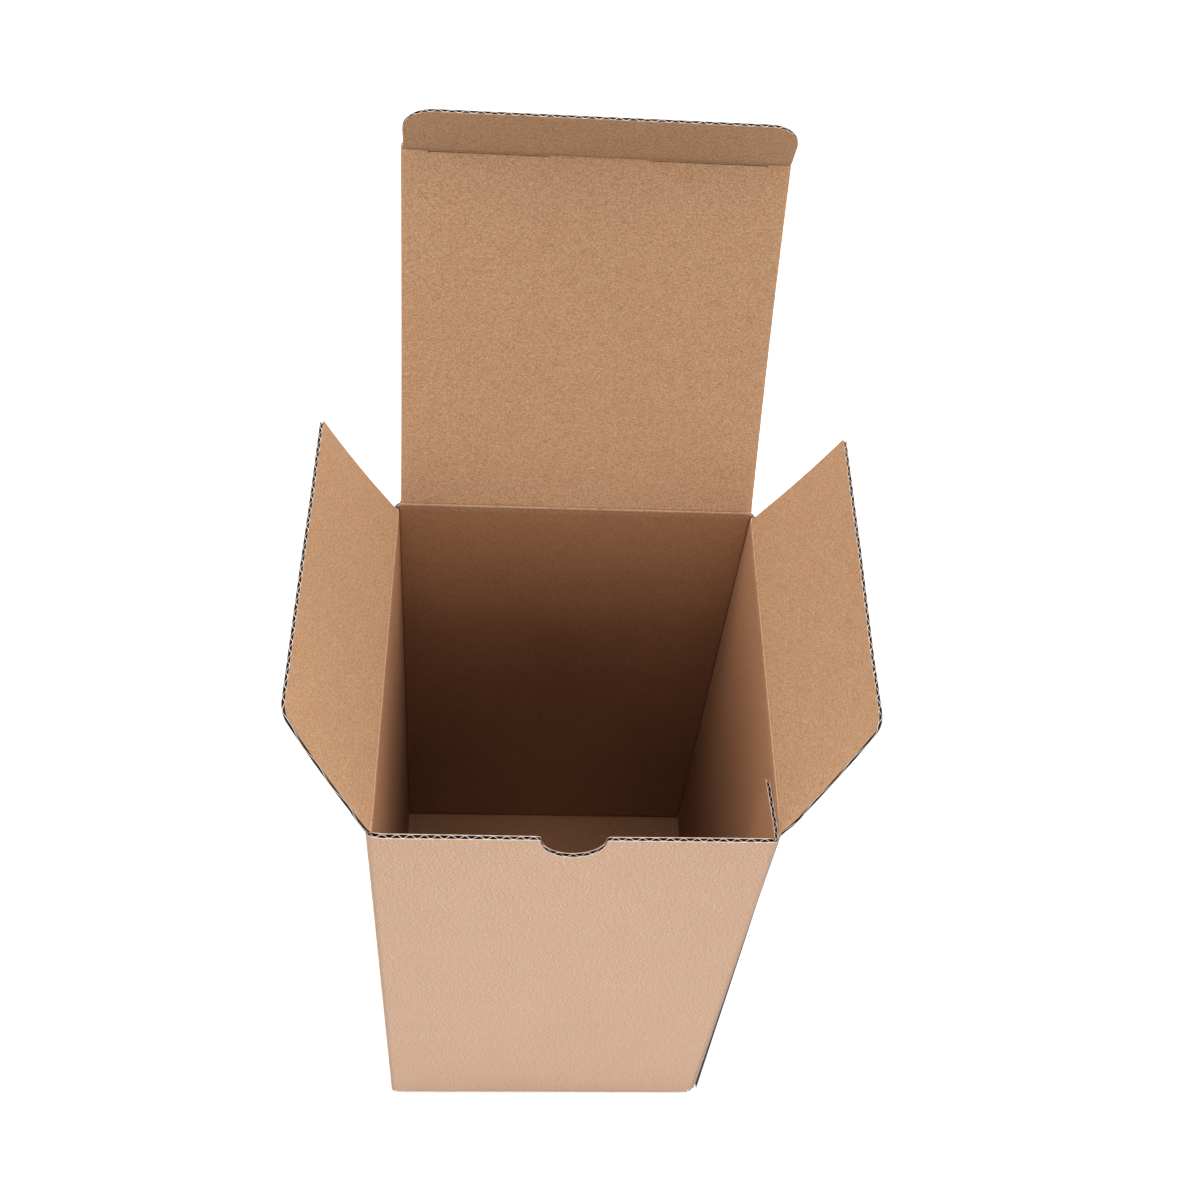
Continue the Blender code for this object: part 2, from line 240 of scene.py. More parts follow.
class Fold:
    """Side view of a bottom flap: a path of (along, z) corners with radii, its lower face."""

    def __init__(self, corners):
        points = [np.array(corners[0][:2], float)]
        for before, here, after in zip(corners, corners[1:], corners[2:]):
            p = np.array(here[:2], float)
            a = np.array(before[:2], float) - p
            b = np.array(after[:2], float) - p
            a, b = a / np.linalg.norm(a), b / np.linalg.norm(b)
            half = np.arccos(np.clip(a @ b, -1, 1)) / 2
            cut = here[2] / np.tan(half)
            middle = p + (a + b) / np.linalg.norm(a + b) * here[2] / np.sin(half)
            first, last = p + a * cut - middle, p + b * cut - middle
            turn = np.arctan2(first[0] * last[1] - first[1] * last[0], first @ last)
            for t in np.linspace(0, turn, 9):
                c, s = np.cos(t), np.sin(t)
                points.append(middle + (first[0] * c - first[1] * s, first[0] * s + first[1] * c))
        points.append(np.array(corners[-1][:2], float))
        self.points = np.array(points)
        steps = np.diff(self.points, axis=0)
        lengths = np.linalg.norm(steps, axis=1)
        self.t = np.concatenate([[0], np.cumsum(lengths)])
        run = steps / lengths[:, None]
        normal = np.stack([-run[:, 1], run[:, 0]], -1)
        at = np.concatenate([normal[:1], (normal[:-1] + normal[1:]) / 2, normal[-1:]])
        self.normal = at / np.linalg.norm(at, axis=1)[:, None]

    def __call__(self, t, n):
        a = np.interp(t, self.t, self.points[:, 0])
        z = np.interp(t, self.t, self.points[:, 1])
        na = np.interp(t, self.t, self.normal[:, 0])
        nz = np.interp(t, self.t, self.normal[:, 1])
        size = np.hypot(na, nz)
        return a + na / size * n, z + nz / size * n

    def reach(self, along):
        """Path length at which the path has gone this far along."""
        keep = np.concatenate([[True], np.diff(self.points[:, 0]) > 1e-6])
        return np.interp(along, self.points[keep, 0], self.t[keep])


FRONT_FOLD = Fold([(0, 3), (0, 0, FOOT), (60, 0, 8), (73, 5.4, 8), (86, 5.4)])
SIDE_FOLD = Fold([(0, 3), (0, 0, FOOT), (9, 1.8, 6), (40, 1.8)])
BACK_FOLD = Fold([(0, 4.8), (0, 1.8, FOOT), (9, 3.6, 6), (70, 3.6)])


def leaning(x, y, z):
    dx, dy = lean(x, y, z)
    return np.stack([x + dx, y + dy, z], -1)


def place_front_flap(u, v, n):
    a, z = FRONT_FOLD(v, n)
    return leaning(u, a, z)


def place_left_flap(u, v, n):
    a, z = SIDE_FOLD(v, n)
    return leaning(a, u, z)


def place_right_flap(u, v, n):
    a, z = SIDE_FOLD(v, n)
    return leaning(WIDTH - a, u, z)


def place_back_flap(u, v, n):
    a, z = BACK_FOLD(v, n)
    return leaning(u, DEPTH - a, z)


# ------------------------------------------------------------------------- building in mesh


def wave(blank):
    """The medium's height between the liners, from -1 at the outside one to 1 at the inside."""
    drift = 0.10 * np.sin(0.291 * blank + 1.1) + 0.07 * np.sin(0.83 * blank)
    c = np.cos(2 * np.pi * (blank - PHASE + drift) / FLUTE)
    return c * (1.22 - 0.22 * c * c)


class Piece:
    """Closed slabs gathered into one mesh object."""

    def __init__(self, name, materials):
        self.name, self.materials = name, materials
        self.verts, self.board, self.faces, self.slots, self.charts = [], [], [], [], []
        self.crease_highlight_and_shade_values = []
        self.count = 0

    def add(self, low, high, blank, depth_low, depth_high, slots, shares, crease_highlight_and_shade):
        """A slab between two grids of points.  slots: material of the low face, the high face
        and the cut edges; shares: how much room the two faces get in the map."""
        nu, nv = low.shape[:2]
        first, second = np.arange(nu * nv).reshape(nu, nv), None
        second = first + nu * nv
        u, v = blank

        def quads(a, b, c, d):
            return np.stack([a, b, c, d], -1).reshape(-1, 4)

        def chart(ids, x, y, slot):
            self.faces.append(ids + self.count)
            self.slots.append(np.full(len(ids), slot))
            self.charts.append(np.stack([x, y], -1))

        def face(g, slot, share, flip):
            ids = quads(g[:-1, :-1], g[1:, :-1], g[1:, 1:], g[:-1, 1:])
            x = quads(u[:-1, :-1], u[1:, :-1], u[1:, 1:], u[:-1, 1:]) * share
            y = quads(v[:-1, :-1], v[1:, :-1], v[1:, 1:], v[:-1, 1:]) * share
            if flip:
                ids, x, y = ids[:, ::-1], x[:, ::-1], y[:, ::-1]
            chart(ids, x, y, slot)

        face(first, slots[0], shares[0], True)
        face(second, slots[1], shares[1], False)

        def strip(a, b, length, flip):
            ids = quads(a[:-1], a[1:], b[1:], b[:-1])
            x = quads(length[:-1], length[1:], length[1:], length[:-1])
            y = np.tile([0.0, 0.0, 0.8, 0.8], (len(ids), 1))
            if flip:
                ids, x, y = ids[:, ::-1], x[:, ::-1], y[:, ::-1]
            chart(ids, x, y, slots[2])

        strip(first[:, 0], second[:, 0], u[:, 0], False)
        strip(first[:, -1], second[:, -1], u[:, -1], True)
        strip(first[0], second[0], v[0], True)
        strip(first[-1], second[-1], v[-1], False)

        self.verts.append(np.concatenate([low.reshape(-1, 3), high.reshape(-1, 3)]))
        for n in (depth_low, depth_high):
            self.board.append(np.stack([u.ravel(), v.ravel(), n.ravel()], -1))
            self.crease_highlight_and_shade_values.append(crease_highlight_and_shade.ravel())
        # A mirrored sheet comes out inside out: look at its volume and turn it.
        six = self.faces[-6:]
        ids = np.concatenate(six) - self.count
        p = self.verts[-1][ids]
        volume = np.einsum("ij,ij->i", p[:, 0], np.cross(p[:, 1], p[:, 2])).sum() + np.einsum(
            "ij,ij->i", p[:, 0], np.cross(p[:, 2], p[:, 3])).sum()
        if volume < 0:
            for k in range(-6, 0):
                self.faces[k] = self.faces[k][:, ::-1]
                self.charts[k] = self.charts[k][:, ::-1]
        self.count += 2 * nu * nv

    def packed(self):
        """The charts laid out side by side on shelves, in one unit square."""
        sizes = []
        for c in self.charts:
            low = c.reshape(-1, 2).min(0)
            c -= low
            sizes.append(c.reshape(-1, 2).max(0))
        area = sum(s[0] * s[1] for s in sizes)
        room = max(max(max(s) for s in sizes) + 2, area ** 0.5 * 1.08)
        order = sorted(range(len(sizes)), key=lambda i: -sizes[i][1])
        x = y = shelf = 0.0
        gap = room * 0.002
        for i in order:
            w, h = sizes[i]
            if h > w and h < 30 and w < 2:
                self.charts[i] = self.charts[i][:, :, ::-1].copy()
                w, h = h, w
            if x + w > room:
                x, y, shelf = 0.0, y + shelf + gap, 0.0
            self.charts[i] += (x, y)
            x += w + gap
            shelf = max(shelf, h)
        total = max(room, y + shelf) + gap
        return np.concatenate(self.charts) / total

    def finish(self):
        verts, faces = world(np.concatenate(self.verts)), np.concatenate(self.faces)
        mesh = bpy.data.meshes.new(self.name)
        mesh.vertices.add(len(verts))
        mesh.vertices.foreach_set("co", verts.astype(np.float32).ravel())
        mesh.loops.add(len(faces) * 4)
        mesh.loops.foreach_set("vertex_index", faces.astype(np.int32).ravel())
        mesh.polygons.add(len(faces))
        mesh.polygons.foreach_set("loop_start", np.arange(0, len(faces) * 4, 4, dtype=np.int32))
        mesh.polygons.foreach_set("loop_total", np.full(len(faces), 4, dtype=np.int32))
        mesh.polygons.foreach_set("material_index", np.concatenate(self.slots).astype(np.int32))
        mesh.update(calc_edges=True)
        uv = mesh.uv_layers.new(name="OFBake")
        uv.data.foreach_set("uv", self.packed().astype(np.float32).ravel())
        board = mesh.attributes.new("board", "FLOAT_VECTOR", "POINT")
        board.data.foreach_set("vector", np.concatenate(self.board).astype(np.float32).ravel())
        # This attribute carries the painted highlight along the creases and the painted shade along the
        # upright folds.
        line = mesh.attributes.new("crease_highlight_and_shade", "FLOAT", "POINT")
        line.data.foreach_set("value", np.concatenate(self.crease_highlight_and_shade_values).astype(np.float32))
        for material in self.materials:
            mesh.materials.append(material)
        mesh.shade_smooth()
        mesh.set_sharp_from_angle(angle=radians(38))
        mesh.validate()
        obj = bpy.data.objects.new(self.name, mesh)
        bpy.context.scene.collection.objects.link(obj)
        return obj


class Sheet:
    """A run of board: its outline, where its points go, and how its depth is pressed."""

    def __init__(self, u0, u1, low, high, place, blank, depth=None, fixed=(), low_rows=(0, 1),
                 high_rows=(0, 1), extra=(), shift=None, crease_highlight_and_shade=None):
        self.u0, self.u1, self.low, self.high = u0, u1, low, high
        self.place, self.blank, self.depth = place, blank, depth
        self.fixed, self.low_rows, self.high_rows = fixed, low_rows, high_rows
        self.extra, self.shift, self.crease_highlight_and_shade = extra, shift, crease_highlight_and_shade

    def grid(self, step, trim=0.0, sparse=False):
        count = max(2, int(round((self.u1 - self.u0) / step)) + 1)
        u = np.concatenate([np.linspace(self.u0, self.u1, count), np.array(self.extra, float)])
        u = np.unique(np.round(u, 4))
        keep = np.concatenate([[True], np.diff(u) > 0.02])
        u = u[keep]
        low, high = self.low(u) + trim, self.high(u) - trim
        rows = []
        if len(self.fixed):
            fixed = self.fixed[::2] if sparse and len(self.fixed) > 8 else self.fixed
            for t in self.low_rows[:-1]:
                rows.append(low + (fixed[0] - low) * t)
            for v in fixed:
                rows.append(np.full_like(u, v))
            for t in self.high_rows[1:]:
                rows.append(fixed[-1] + (high - fixed[-1]) * t)
        else:
            for t in self.high_rows:
                rows.append(low + (high - low) * t)
        V = np.stack(rows, 1)
        U = np.repeat(u[:, None], V.shape[1], 1)
        if self.shift is not None:
            U = U + self.shift(U, V)
        return U, V

    def layer(self, piece, kind):
        step = {"outer": FLUTE / 6, "inner": FLUTE / 6, "medium": FLUTE / 12}[kind]
        U, V = self.grid(step, 0.07 if kind == "medium" else 0.0, kind == "medium")
        bu, bv = self.blank(U, V)
        w = wave(bu)
        thin = LINER / BOARD
        if kind == "outer":
            low = 0.003 / BOARD * (1 + w)
            high = np.full_like(U, thin)
            slots, shares = (0, 1, 2), (1.0, 0.3)
        elif kind == "inner":
            low = np.full_like(U, 1 - thin)
            high = 1 - 0.003 / BOARD * (1 - w)
            slots, shares = (1, 0, 2), (0.3, 1.0)
        else:
            rise = (BOARD - 2 * LINER - MEDIUM) / 2 + 0.015
            beside = wave(bu + 0.02) - wave(bu - 0.02)
            half = MEDIUM / 2 * np.sqrt(1 + (rise * beside / 0.04) ** 2)
            low = (BOARD / 2 + rise * w - half) / BOARD
            high = (BOARD / 2 + rise * w + half) / BOARD
            slots, shares = (0, 0, 1), (0.3, 0.3)
        if self.depth is None:
            n0, n1 = low * BOARD, high * BOARD
        else:
            n0, n1 = self.depth(U, V, low), self.depth(U, V, high)
        side = {"outer": 0.0, "inner": 60.0, "medium": 120.0}[kind]
        # Painted highlight and painted shade along creases and folds, kept per point.
        line = np.zeros_like(V) if self.crease_highlight_and_shade is None else self.crease_highlight_and_shade(U, V, kind)
        piece.add(self.place(U, V, n0), self.place(U, V, n1), (bu, bv),
                  n0 + side, n1 + side, slots, shares, line)


def steps(*points):
    """Outline through (u, v) points, straight between them."""
    us, vs = [p[0] for p in points], [p[1] for p in points]
    return lambda u: np.interp(u, us, vs)


def breaks(*points):
    return tuple(p[0] for p in points)


def rounded(corners, segments=6):
    """Outline points with each (u, v, radius) corner made round."""
    out = []
    for i, corner in enumerate(corners):
        p = np.array(corner[:2], float)
        if len(corner) < 3:
            out.append(tuple(p))
            continue
        a = np.array(corners[i - 1][:2], float) - p
        b = np.array(corners[i + 1][:2], float) - p
        a, b = a / np.linalg.norm(a), b / np.linalg.norm(b)
        half = np.arccos(np.clip(a @ b, -1, 1)) / 2
        middle = p + (a + b) / np.linalg.norm(a + b) * corner[2] / np.sin(half)
        first = p + a * corner[2] / np.tan(half) - middle
        last = p + b * corner[2] / np.tan(half) - middle
        turn = np.arctan2(first[0] * last[1] - first[1] * last[0], first @ last)
        for t in np.linspace(0, turn, segments + 1):
            c, s = np.cos(t), np.sin(t)
            out.append((middle[0] + first[0] * c - first[1] * s,
                        middle[1] + first[0] * s + first[1] * c))
    return out


# ---------------------------------------------------------------------------------- sheets

def ring_top(s):
    v = np.interp(s, *zip(*TOP))
    x = s_front(0) - s          # along the front wall, from the left
    d = np.abs(x - 51.0)
    bowl = 179.2 - np.sqrt(np.clip(8.2 ** 2 - d ** 2, 0, None))
    lip = 178.9 + np.sqrt(np.clip(1 - (9.2 - d) ** 2, 0, 1))
    v = np.where(d < 8.2, np.minimum(v, bowl), v)
    return np.where((d >= 8.2) & (d < 9.2), np.minimum(v, lip), v)


TOP = [(0.0, 175.6), (16.0, 180.0), (19.6, 180.05), (21.3, 179.9), (s_front(4.0), 179.9),
       (s_front(2.0), 180.5), (121.5, 181.45), (122.2, 181.6), (122.25, 179.7),
       (s_left(101.7), 179.7), (s_left(101.75), 181.5), (s_left(102.4), 181.5),
       (s_back(0.3), 181.7), (s_back(1.0), 182.3), (s_back(1.65), 182.8), (s_back(1.7), 181.5),
       (s_back(101.8), 181.5), (s_back(101.85), 182.8), (s_back(102.5), 182.3),
       (s_back(103.2), 181.7), (s_right(102.4), 181.5), (s_right(101.75), 181.5),
       (s_right(101.7), 179.7), (RING_END, 179.7)]
LOW = [(0.0, 7.3), (16.0, 3.0), (19.4, 2.9), (20.2, 2.5), (20.9, 2.0), (21.4, 1.6), (21.6, 3.0),
       (s_front(1.7), 3.0), (s_front(1.5), 1.6), (FOLDS[1], 1.3), (s_left(1.6), 1.3),
       (s_left(9.9), 1.2), (s_left(10.0), 3.0), (s_left(96.0), 3.0), (s_left(96.1), 1.2),
       (s_left(102.4), 1.6), (s_back(0.5), 2.4), (s_back(1.2), 2.4), (s_back(1.24), 4.8),
       (s_back(102.26), 4.8), (s_back(102.3), 2.4), (s_right(103.5), 2.4),
       (s_right(102.4), 1.6), (s_right(96.1), 1.2), (s_right(96.0), 3.0),
       (s_right(10.0), 3.0), (s_right(9.9), 1.2), (RING_END - 1.5, 1.6), (RING_END, 2.4)]


def end_press(n, distance, share, width=1.3):
    """The cutting knife presses the board's end thin, against its inner face."""
    return BOARD - (BOARD - n) * (1 - share * np.exp(-np.clip(distance, 0, 99) / width))


def ring_depth(s, v, q):
    c = np.ones_like(s)
    for middle in FOLDS:
        c = c * (1 - 0.40 * bump(s, middle, 0.8))
    c = c * (1 - 0.32 * (1 - smooth((s - 19.5) / 1.8)))
    x = s_front(0) - s
    near = np.interp(x, [0, 10, 38, 64, 78, 102], [0.97, 0.97, 0.82, 0.80, 0.85, 0.85])
    at_top = np.exp(-np.clip(ring_top(s) - v, 0, 50) / 1.6)
    on_front = (x > 1.0) & (x < 101.5)
    c = np.where(on_front, c * (1 - (1 - near) * at_top), c)
    # The cut end of a fold's top is crushed flat.
    at_fold = bump(s, FOLDS[2], 1.2) + bump(s, FOLDS[3], 1.2)
    c = c * (1 - 0.6 * at_fold * np.exp(-np.clip(ring_top(s) - v, 0, 50) / 1.5))
    return q * BOARD * c


def ring_shift(s, v):
    """The right wall reaches forward to the corner."""
    return np.clip((s - (RING_END - 12)) / 12, 0, 1) * 2.2 + 0 * v


def fold_painted_shade(u, v, kind):
    """Painted shade along the upright folds: a thin dark line painted inside, where the two walls meet,
    and a broad painted shade over the fold outside, which dulls its highlight."""
    line = np.zeros_like(u)
    for middle in FOLDS:
        line = np.maximum(line, np.clip(3.4 - np.abs(u - middle) / 0.5, 0, 1) * 0.8
                          if kind == "inner" else 0.45 * bump(u, middle, 0.75))
    return -line


notch_columns = [s_front(51.0 + 8.2 * np.sin(np.radians(a))) for a in range(-90, 91, 6)]
notch_columns += [s_front(51.0 + side * (9.2 - np.cos(np.radians(a))))
                  for side in (-1, 1) for a in range(0, 91, 15)]

ring = Sheet(0.0, RING_END, steps(*LOW), ring_top, place_ring, lambda u, v: (u, v), ring_depth,
             fixed=[8.0, 20, 34, 48, 62, 76, 90, 104, 118, 132, 146, 158, 168.0],
             low_rows=(0, 0.12, 0.3, 0.6, 1),
             high_rows=(0, 0.4, 0.65, 0.8, 0.88, 0.93, 0.965, 0.985, 1),
             extra=breaks(*TOP) + breaks(*LOW) + tuple(notch_columns)
             + tuple(np.concatenate([np.linspace(m - 1.8, m + 1.8, 17) for m in FOLDS])),
             shift=ring_shift, crease_highlight_and_shade=fold_painted_shade)

def crease(v, q, depth=0.12, below=0.25, above=0.3):
    """Board pressed from the inside along v = 0."""
    width = np.where(v < 0, below, above)
    return q * (BOARD - depth * np.exp(-(v / width) ** 2))


# The lid, and the tuck flap beyond it.
HALF = (LID_RIGHT - LID_LEFT) / 2
MID = SLIT_MIDDLE


def lid_edges(v):
    """Left and right edge where they really stand."""
    at = [-SEAM, -0.05, 0.1, 0.35, 1.35, 200]
    inward = LID_TAPER * np.clip(v / LID_LENGTH, 0, 1)
    return (LID_LEFT + LID_SIDEWAYS + inward - np.interp(v, at, [0.30, 0.30, 0.1, 0.05, 0, 0]),
            LID_RIGHT + LID_SIDEWAYS - inward + np.interp(v, at, [-0.22, -0.22, 0.1, 0.05, 0, 0]))


def lid_shift(u, v):
    left, right = lid_edges(v)
    dl = lid_drift(np.full_like(u, LID_LEFT), v)[0]
    dr = lid_drift(np.full_like(u, LID_RIGHT), v)[0]
    a = 1 - smooth((u - LID_LEFT) / 6.0)
    b = smooth((u - LID_RIGHT + 6.0) / 6.0)
    return a * (left - LID_LEFT - dl) + b * (right - LID_RIGHT - dr)


def side_press(u, v, left, right, share=0.22, width=0.9):
    """Cut edges along the flutes are pressed a little thin, past the crease."""
    return 1 - share * smooth((v + 0.6) / 1.5) * (np.exp(-np.clip(u - left, 0, 99) / width)
                                                  + np.exp(-np.clip(right - u, 0, 99) / width))


def crease_highlight_and_shade(u, v, kind):
    """Painted highlight: a thin pale line painted along each crease."""
    return np.clip(1.15 - np.abs(v) / 0.145, 0, 1)


# A stronger painted highlight along the lid's crease.
def lid_crease_highlight(u, v, kind):
    return 0.85 * crease_highlight_and_shade(u, v, kind)


def lid_depth(u, v, q):
    n = crease(v, q)
    n = np.where(v > 50, crease(v - LID_LENGTH, q, 0.35, 0.9, 0.9), n)
    n = n * side_press(u, v, LID_LEFT, LID_RIGHT)
    return end_press(n, np.interp(u, *zip(*TUCK_END)) - v, 0.40)


# The uncut ends of the crease and the slits beside it.
UNCUT, SLIT_NEAR, SLIT_END, SLIT_FAR = (LID_LENGTH - 1.7, LID_LENGTH - 0.92, LID_LENGTH - 1.2,
                                        LID_LENGTH - 0.72)
LID_END = [(LID_LEFT, UNCUT), (MID - SLIT_OUTER - 0.04, UNCUT), (MID - SLIT_OUTER, SLIT_END),
           (MID - SLIT_OUTER + 0.7, SLIT_NEAR), (MID - SLIT_INNER, SLIT_NEAR),
           (MID - SLIT_INNER + 0.04, UNCUT), (MID + SLIT_INNER - 0.04, UNCUT),
           (MID + SLIT_INNER, SLIT_NEAR), (MID + SLIT_OUTER - 0.7, SLIT_NEAR),
           (MID + SLIT_OUTER, SLIT_END), (MID + SLIT_OUTER + 0.04, UNCUT), (LID_RIGHT, UNCUT)]
TUCK_START = [(u, UNCUT if v == UNCUT else SLIT_FAR) for u, v in LID_END]

lid = Sheet(LID_LEFT, LID_RIGHT, lambda u: np.full_like(u, -SEAM), steps(*LID_END), place_lid,
            lambda u, v: (s_back(u), LID_CREASE + v), lid_depth,
            fixed=[-1.4, -0.9, -0.6, -0.42, -0.28, -0.14, 0.0, 0.15, 0.3, 0.5, 0.7, 0.9, 1.4, 2.4, 4, 8,
                   14, 22, 32, 42, 52, 62, 72, 82, 90, 96],
            high_rows=(0, 0.6, 1), extra=breaks(*LID_END)
            + tuple(LID_LEFT + np.linspace(0, 3, 9)) + tuple(LID_RIGHT - np.linspace(0, 3, 9)),
            shift=lid_shift, crease_highlight_and_shade=lid_crease_highlight)

corner = rounded([(TUCK_LEFT, LID_LENGTH), (TUCK_LEFT, LID_LENGTH + TUCK_LENGTH, TUCK_CORNER),
                  (TUCK_RIGHT, LID_LENGTH + TUCK_LENGTH, TUCK_CORNER), (TUCK_RIGHT, LID_LENGTH)], 12)
TUCK_END = [(TUCK_LEFT, corner[1][1])] + corner[2:-2] + [(TUCK_RIGHT, corner[-2][1])]


def tuck_shift(u, v):
    """The tuck flap starts as wide as the lid, and narrows just past its crease."""
    wide = 1 - smooth((v - LID_LENGTH - 0.3) / 1.4)
    a = 1 - smooth((u - TUCK_LEFT) / 6.0)
    b = smooth((u - TUCK_RIGHT + 6.0) / 6.0)
    return wide * (a * (LID_LEFT + LID_TAPER - TUCK_LEFT) + b * (LID_RIGHT - LID_TAPER - TUCK_RIGHT))


tuck_start = [(min(max(u, TUCK_LEFT), TUCK_RIGHT), v) for u, v in TUCK_START]
tuck = Sheet(TUCK_LEFT, TUCK_RIGHT, steps(*tuck_start), steps(*TUCK_END), place_lid,
             lambda u, v: (s_back(u), LID_CREASE + v), lid_depth,
             fixed=[LID_LENGTH + by for by in (-0.2, 0.0, 0.2, 0.5, 0.8, 1.2, 1.8, 3.8, 6.8)],
             low_rows=(0, 0.33, 0.66, 1), high_rows=(0, 0.3, 0.6, 0.85, 1),
             extra=breaks(*tuck_start) + breaks(*TUCK_END)
             + tuple(TUCK_LEFT + np.linspace(0, 3, 9)) + tuple(TUCK_RIGHT - np.linspace(0, 3, 9)),
             shift=tuck_shift)

# Dust flaps: the outline is cut across the flutes at the front, and along them at the rear.
DUST_REAR = 101.7
DUST_LOW = 7.9              # the front edge's rows run level up to here


def dust(place, blank, front, ends, last, taper, slope):
    """front: where the front edge stands at DUST_LOW; ends, last: the far edge's corners;
    taper: how far the rear edge runs forward, and slope: the front edge backward, per length."""
    outline = rounded([(front, DUST_LOW - 4), (front + 0.02, DUST_LOW + 0.1), ends[0], *ends[1:],
                       (DUST_REAR, last, 0.4), (DUST_REAR + 0.001, 34.0)], 8)
    outline = [(front, DUST_LOW)] + outline[1:-1] + [(DUST_REAR, outline[-2][1] - 0.1)]

    def shift(u, v):
        back = smooth((u - DUST_REAR + 9.0) / 9.0)
        ahead = 1 - smooth((u - front) / 7.0)
        return (-back * np.clip(v, 0, 50) * taper
                - ahead * slope * np.clip(DUST_LOW - np.clip(v, 0.6, 99), 0, 99))

    def depth(u, v, q):
        n = crease(v, q)
        at = np.interp(v, [0, DUST_LOW, ends[0][1]], [front, front, ends[0][0]])
        n = n * side_press(u, v, at, DUST_REAR, 0.2, 0.8)
        return end_press(n, np.interp(u, *zip(*outline)) - v, 0.20)

    return Sheet(front, DUST_REAR, lambda u: np.full_like(u, -SEAM), steps(*outline), place,
                 blank, depth,
                 fixed=[-1.4, -0.9, -0.6, -0.42, -0.28, -0.14, 0.0, 0.15, 0.3, 0.5, 0.7, 0.9, 1.4,
                        2.4, 4, 7],
                 high_rows=(0, 0.15, 0.3, 0.45, 0.6, 0.75, 0.88, 0.95, 0.98, 1),
                 extra=breaks(*outline) + tuple(np.linspace(front, front + 9, 34))
                 + tuple(DUST_REAR - np.linspace(0, 1.2, 7)), shift=shift, crease_highlight_and_shade=crease_highlight_and_shade)


left_dust = dust(place_left, lambda u, v: (s_left(u), DUST_CREASE + v), 2.59,
                 [(10.6, 42.8, 4.0), (50.0, 42.4), (74.0, 41.8)], 41.6, 0.0227, 0.23)
right_dust = dust(place_right, lambda u, v: (s_right(u), DUST_CREASE + v), 3.25,
                  [(10.7, 41.5, 4.0), (32.0, 41.5), (62.0, 42.3)], 42.7, 0.0700, 0.322)


# Bottom flaps.  v is the length along the fold's path, from where the wall's sheet stops.
def foot_depth(radius_start):
    def depth(u, v, q):
        return q * (BOARD - 0.42 * bump(v, radius_start + FOOT * np.pi / 4, 1.1))
    return depth


def to_path(fold, outline):
    return [(u, float(fold.reach(along))) for u, along in outline]


half_front = rounded([(2.6, 1.5), (10.0, 9.0), (11.5, 50.0, 5), (17.0, 60.0, 4), (51.0, 60.0)], 5)
FRONT_END = [(1.7, 2.0), (2.1, 3.2)] + to_path(FRONT_FOLD, half_front)
FRONT_END = FRONT_END + [(102.0 - u, v) for u, v in reversed(FRONT_END[:-1])]
flat_rows = (0, 0.1, 0.25, 0.4, 0.55, 0.7, 0.85, 0.95, 1)
front_flap = Sheet(1.7, 100.3, lambda u: np.zeros_like(u), steps(*FRONT_END), place_front_flap,
                   lambda u, v: (s_front(u), 3 - v), foot_depth(1.5),
                   high_rows=(0, 0.02, 0.035, 0.05, 0.06, 0.08, 0.12, 0.2, 0.35, 0.5, 0.65, 0.8,
                              0.9, 1), extra=breaks(*FRONT_END))
start = float(FRONT_FOLD.reach(60.0))
end = float(FRONT_FOLD.reach(86.0))
tongue_end = rounded([(29.0, end - 7.5), (34.5, end, 4), (69.0, end, 4), (74.5, end - 7.5)], 5)
tongue = Sheet(29.0, 74.5, lambda u: np.full_like(u, start), steps(*tongue_end), place_front_flap,
               lambda u, v: (s_front(u), 3 - v), None, high_rows=tuple(np.linspace(0, 1, 26)),
               extra=breaks(*tongue_end))

side_outline = rounded([(10.0, 2.0), (14.0, 36.0, 5), (52.0, 36.0, 3), (60.0, 28.6, 2),
                        (69.0, 28.6, 3), (95.5, 2.0)], 5)
SIDE_END = to_path(SIDE_FOLD, side_outline)
side_rows = (0, 0.03, 0.05, 0.065, 0.08, 0.1, 0.14, 0.2, 0.26, 0.32, 0.45, 0.6, 0.8, 0.93, 1)
side_flaps = [Sheet(10.0, 95.5, lambda u: np.zeros_like(u), steps(*SIDE_END), place,
                    blank, foot_depth(1.5), high_rows=side_rows, extra=breaks(*SIDE_END))
              for place, blank in ((place_left_flap, lambda u, v: (s_left(u), 3 - v)),
                                   (place_right_flap, lambda u, v: (s_right(u), 3 - v)))]

half_back = rounded([(1.4, 24.0), (6.0, 62.0, 5), (26.0, 62.0, 4), (28.0, 29.5, 3), (51.75, 29.5)], 5)
BACK_END = [(1.22, 2.6)] + to_path(BACK_FOLD, half_back)
BACK_END = BACK_END + [(WIDTH - u, v) for u, v in reversed(BACK_END[:-1])]
back_flap = Sheet(1.22, 102.28, lambda u: np.zeros_like(u), steps(*BACK_END), place_back_flap,
                  lambda u, v: (s_back(u), 4.8 - v), foot_depth(1.5),
                  high_rows=(0, 0.025, 0.04, 0.055, 0.07, 0.09, 0.12, 0.16, 0.2, 0.25, 0.3, 0.4,
                             0.55, 0.7, 0.85, 0.95, 1), extra=breaks(*BACK_END))

# ------------------------------------------------------------------------------- materials


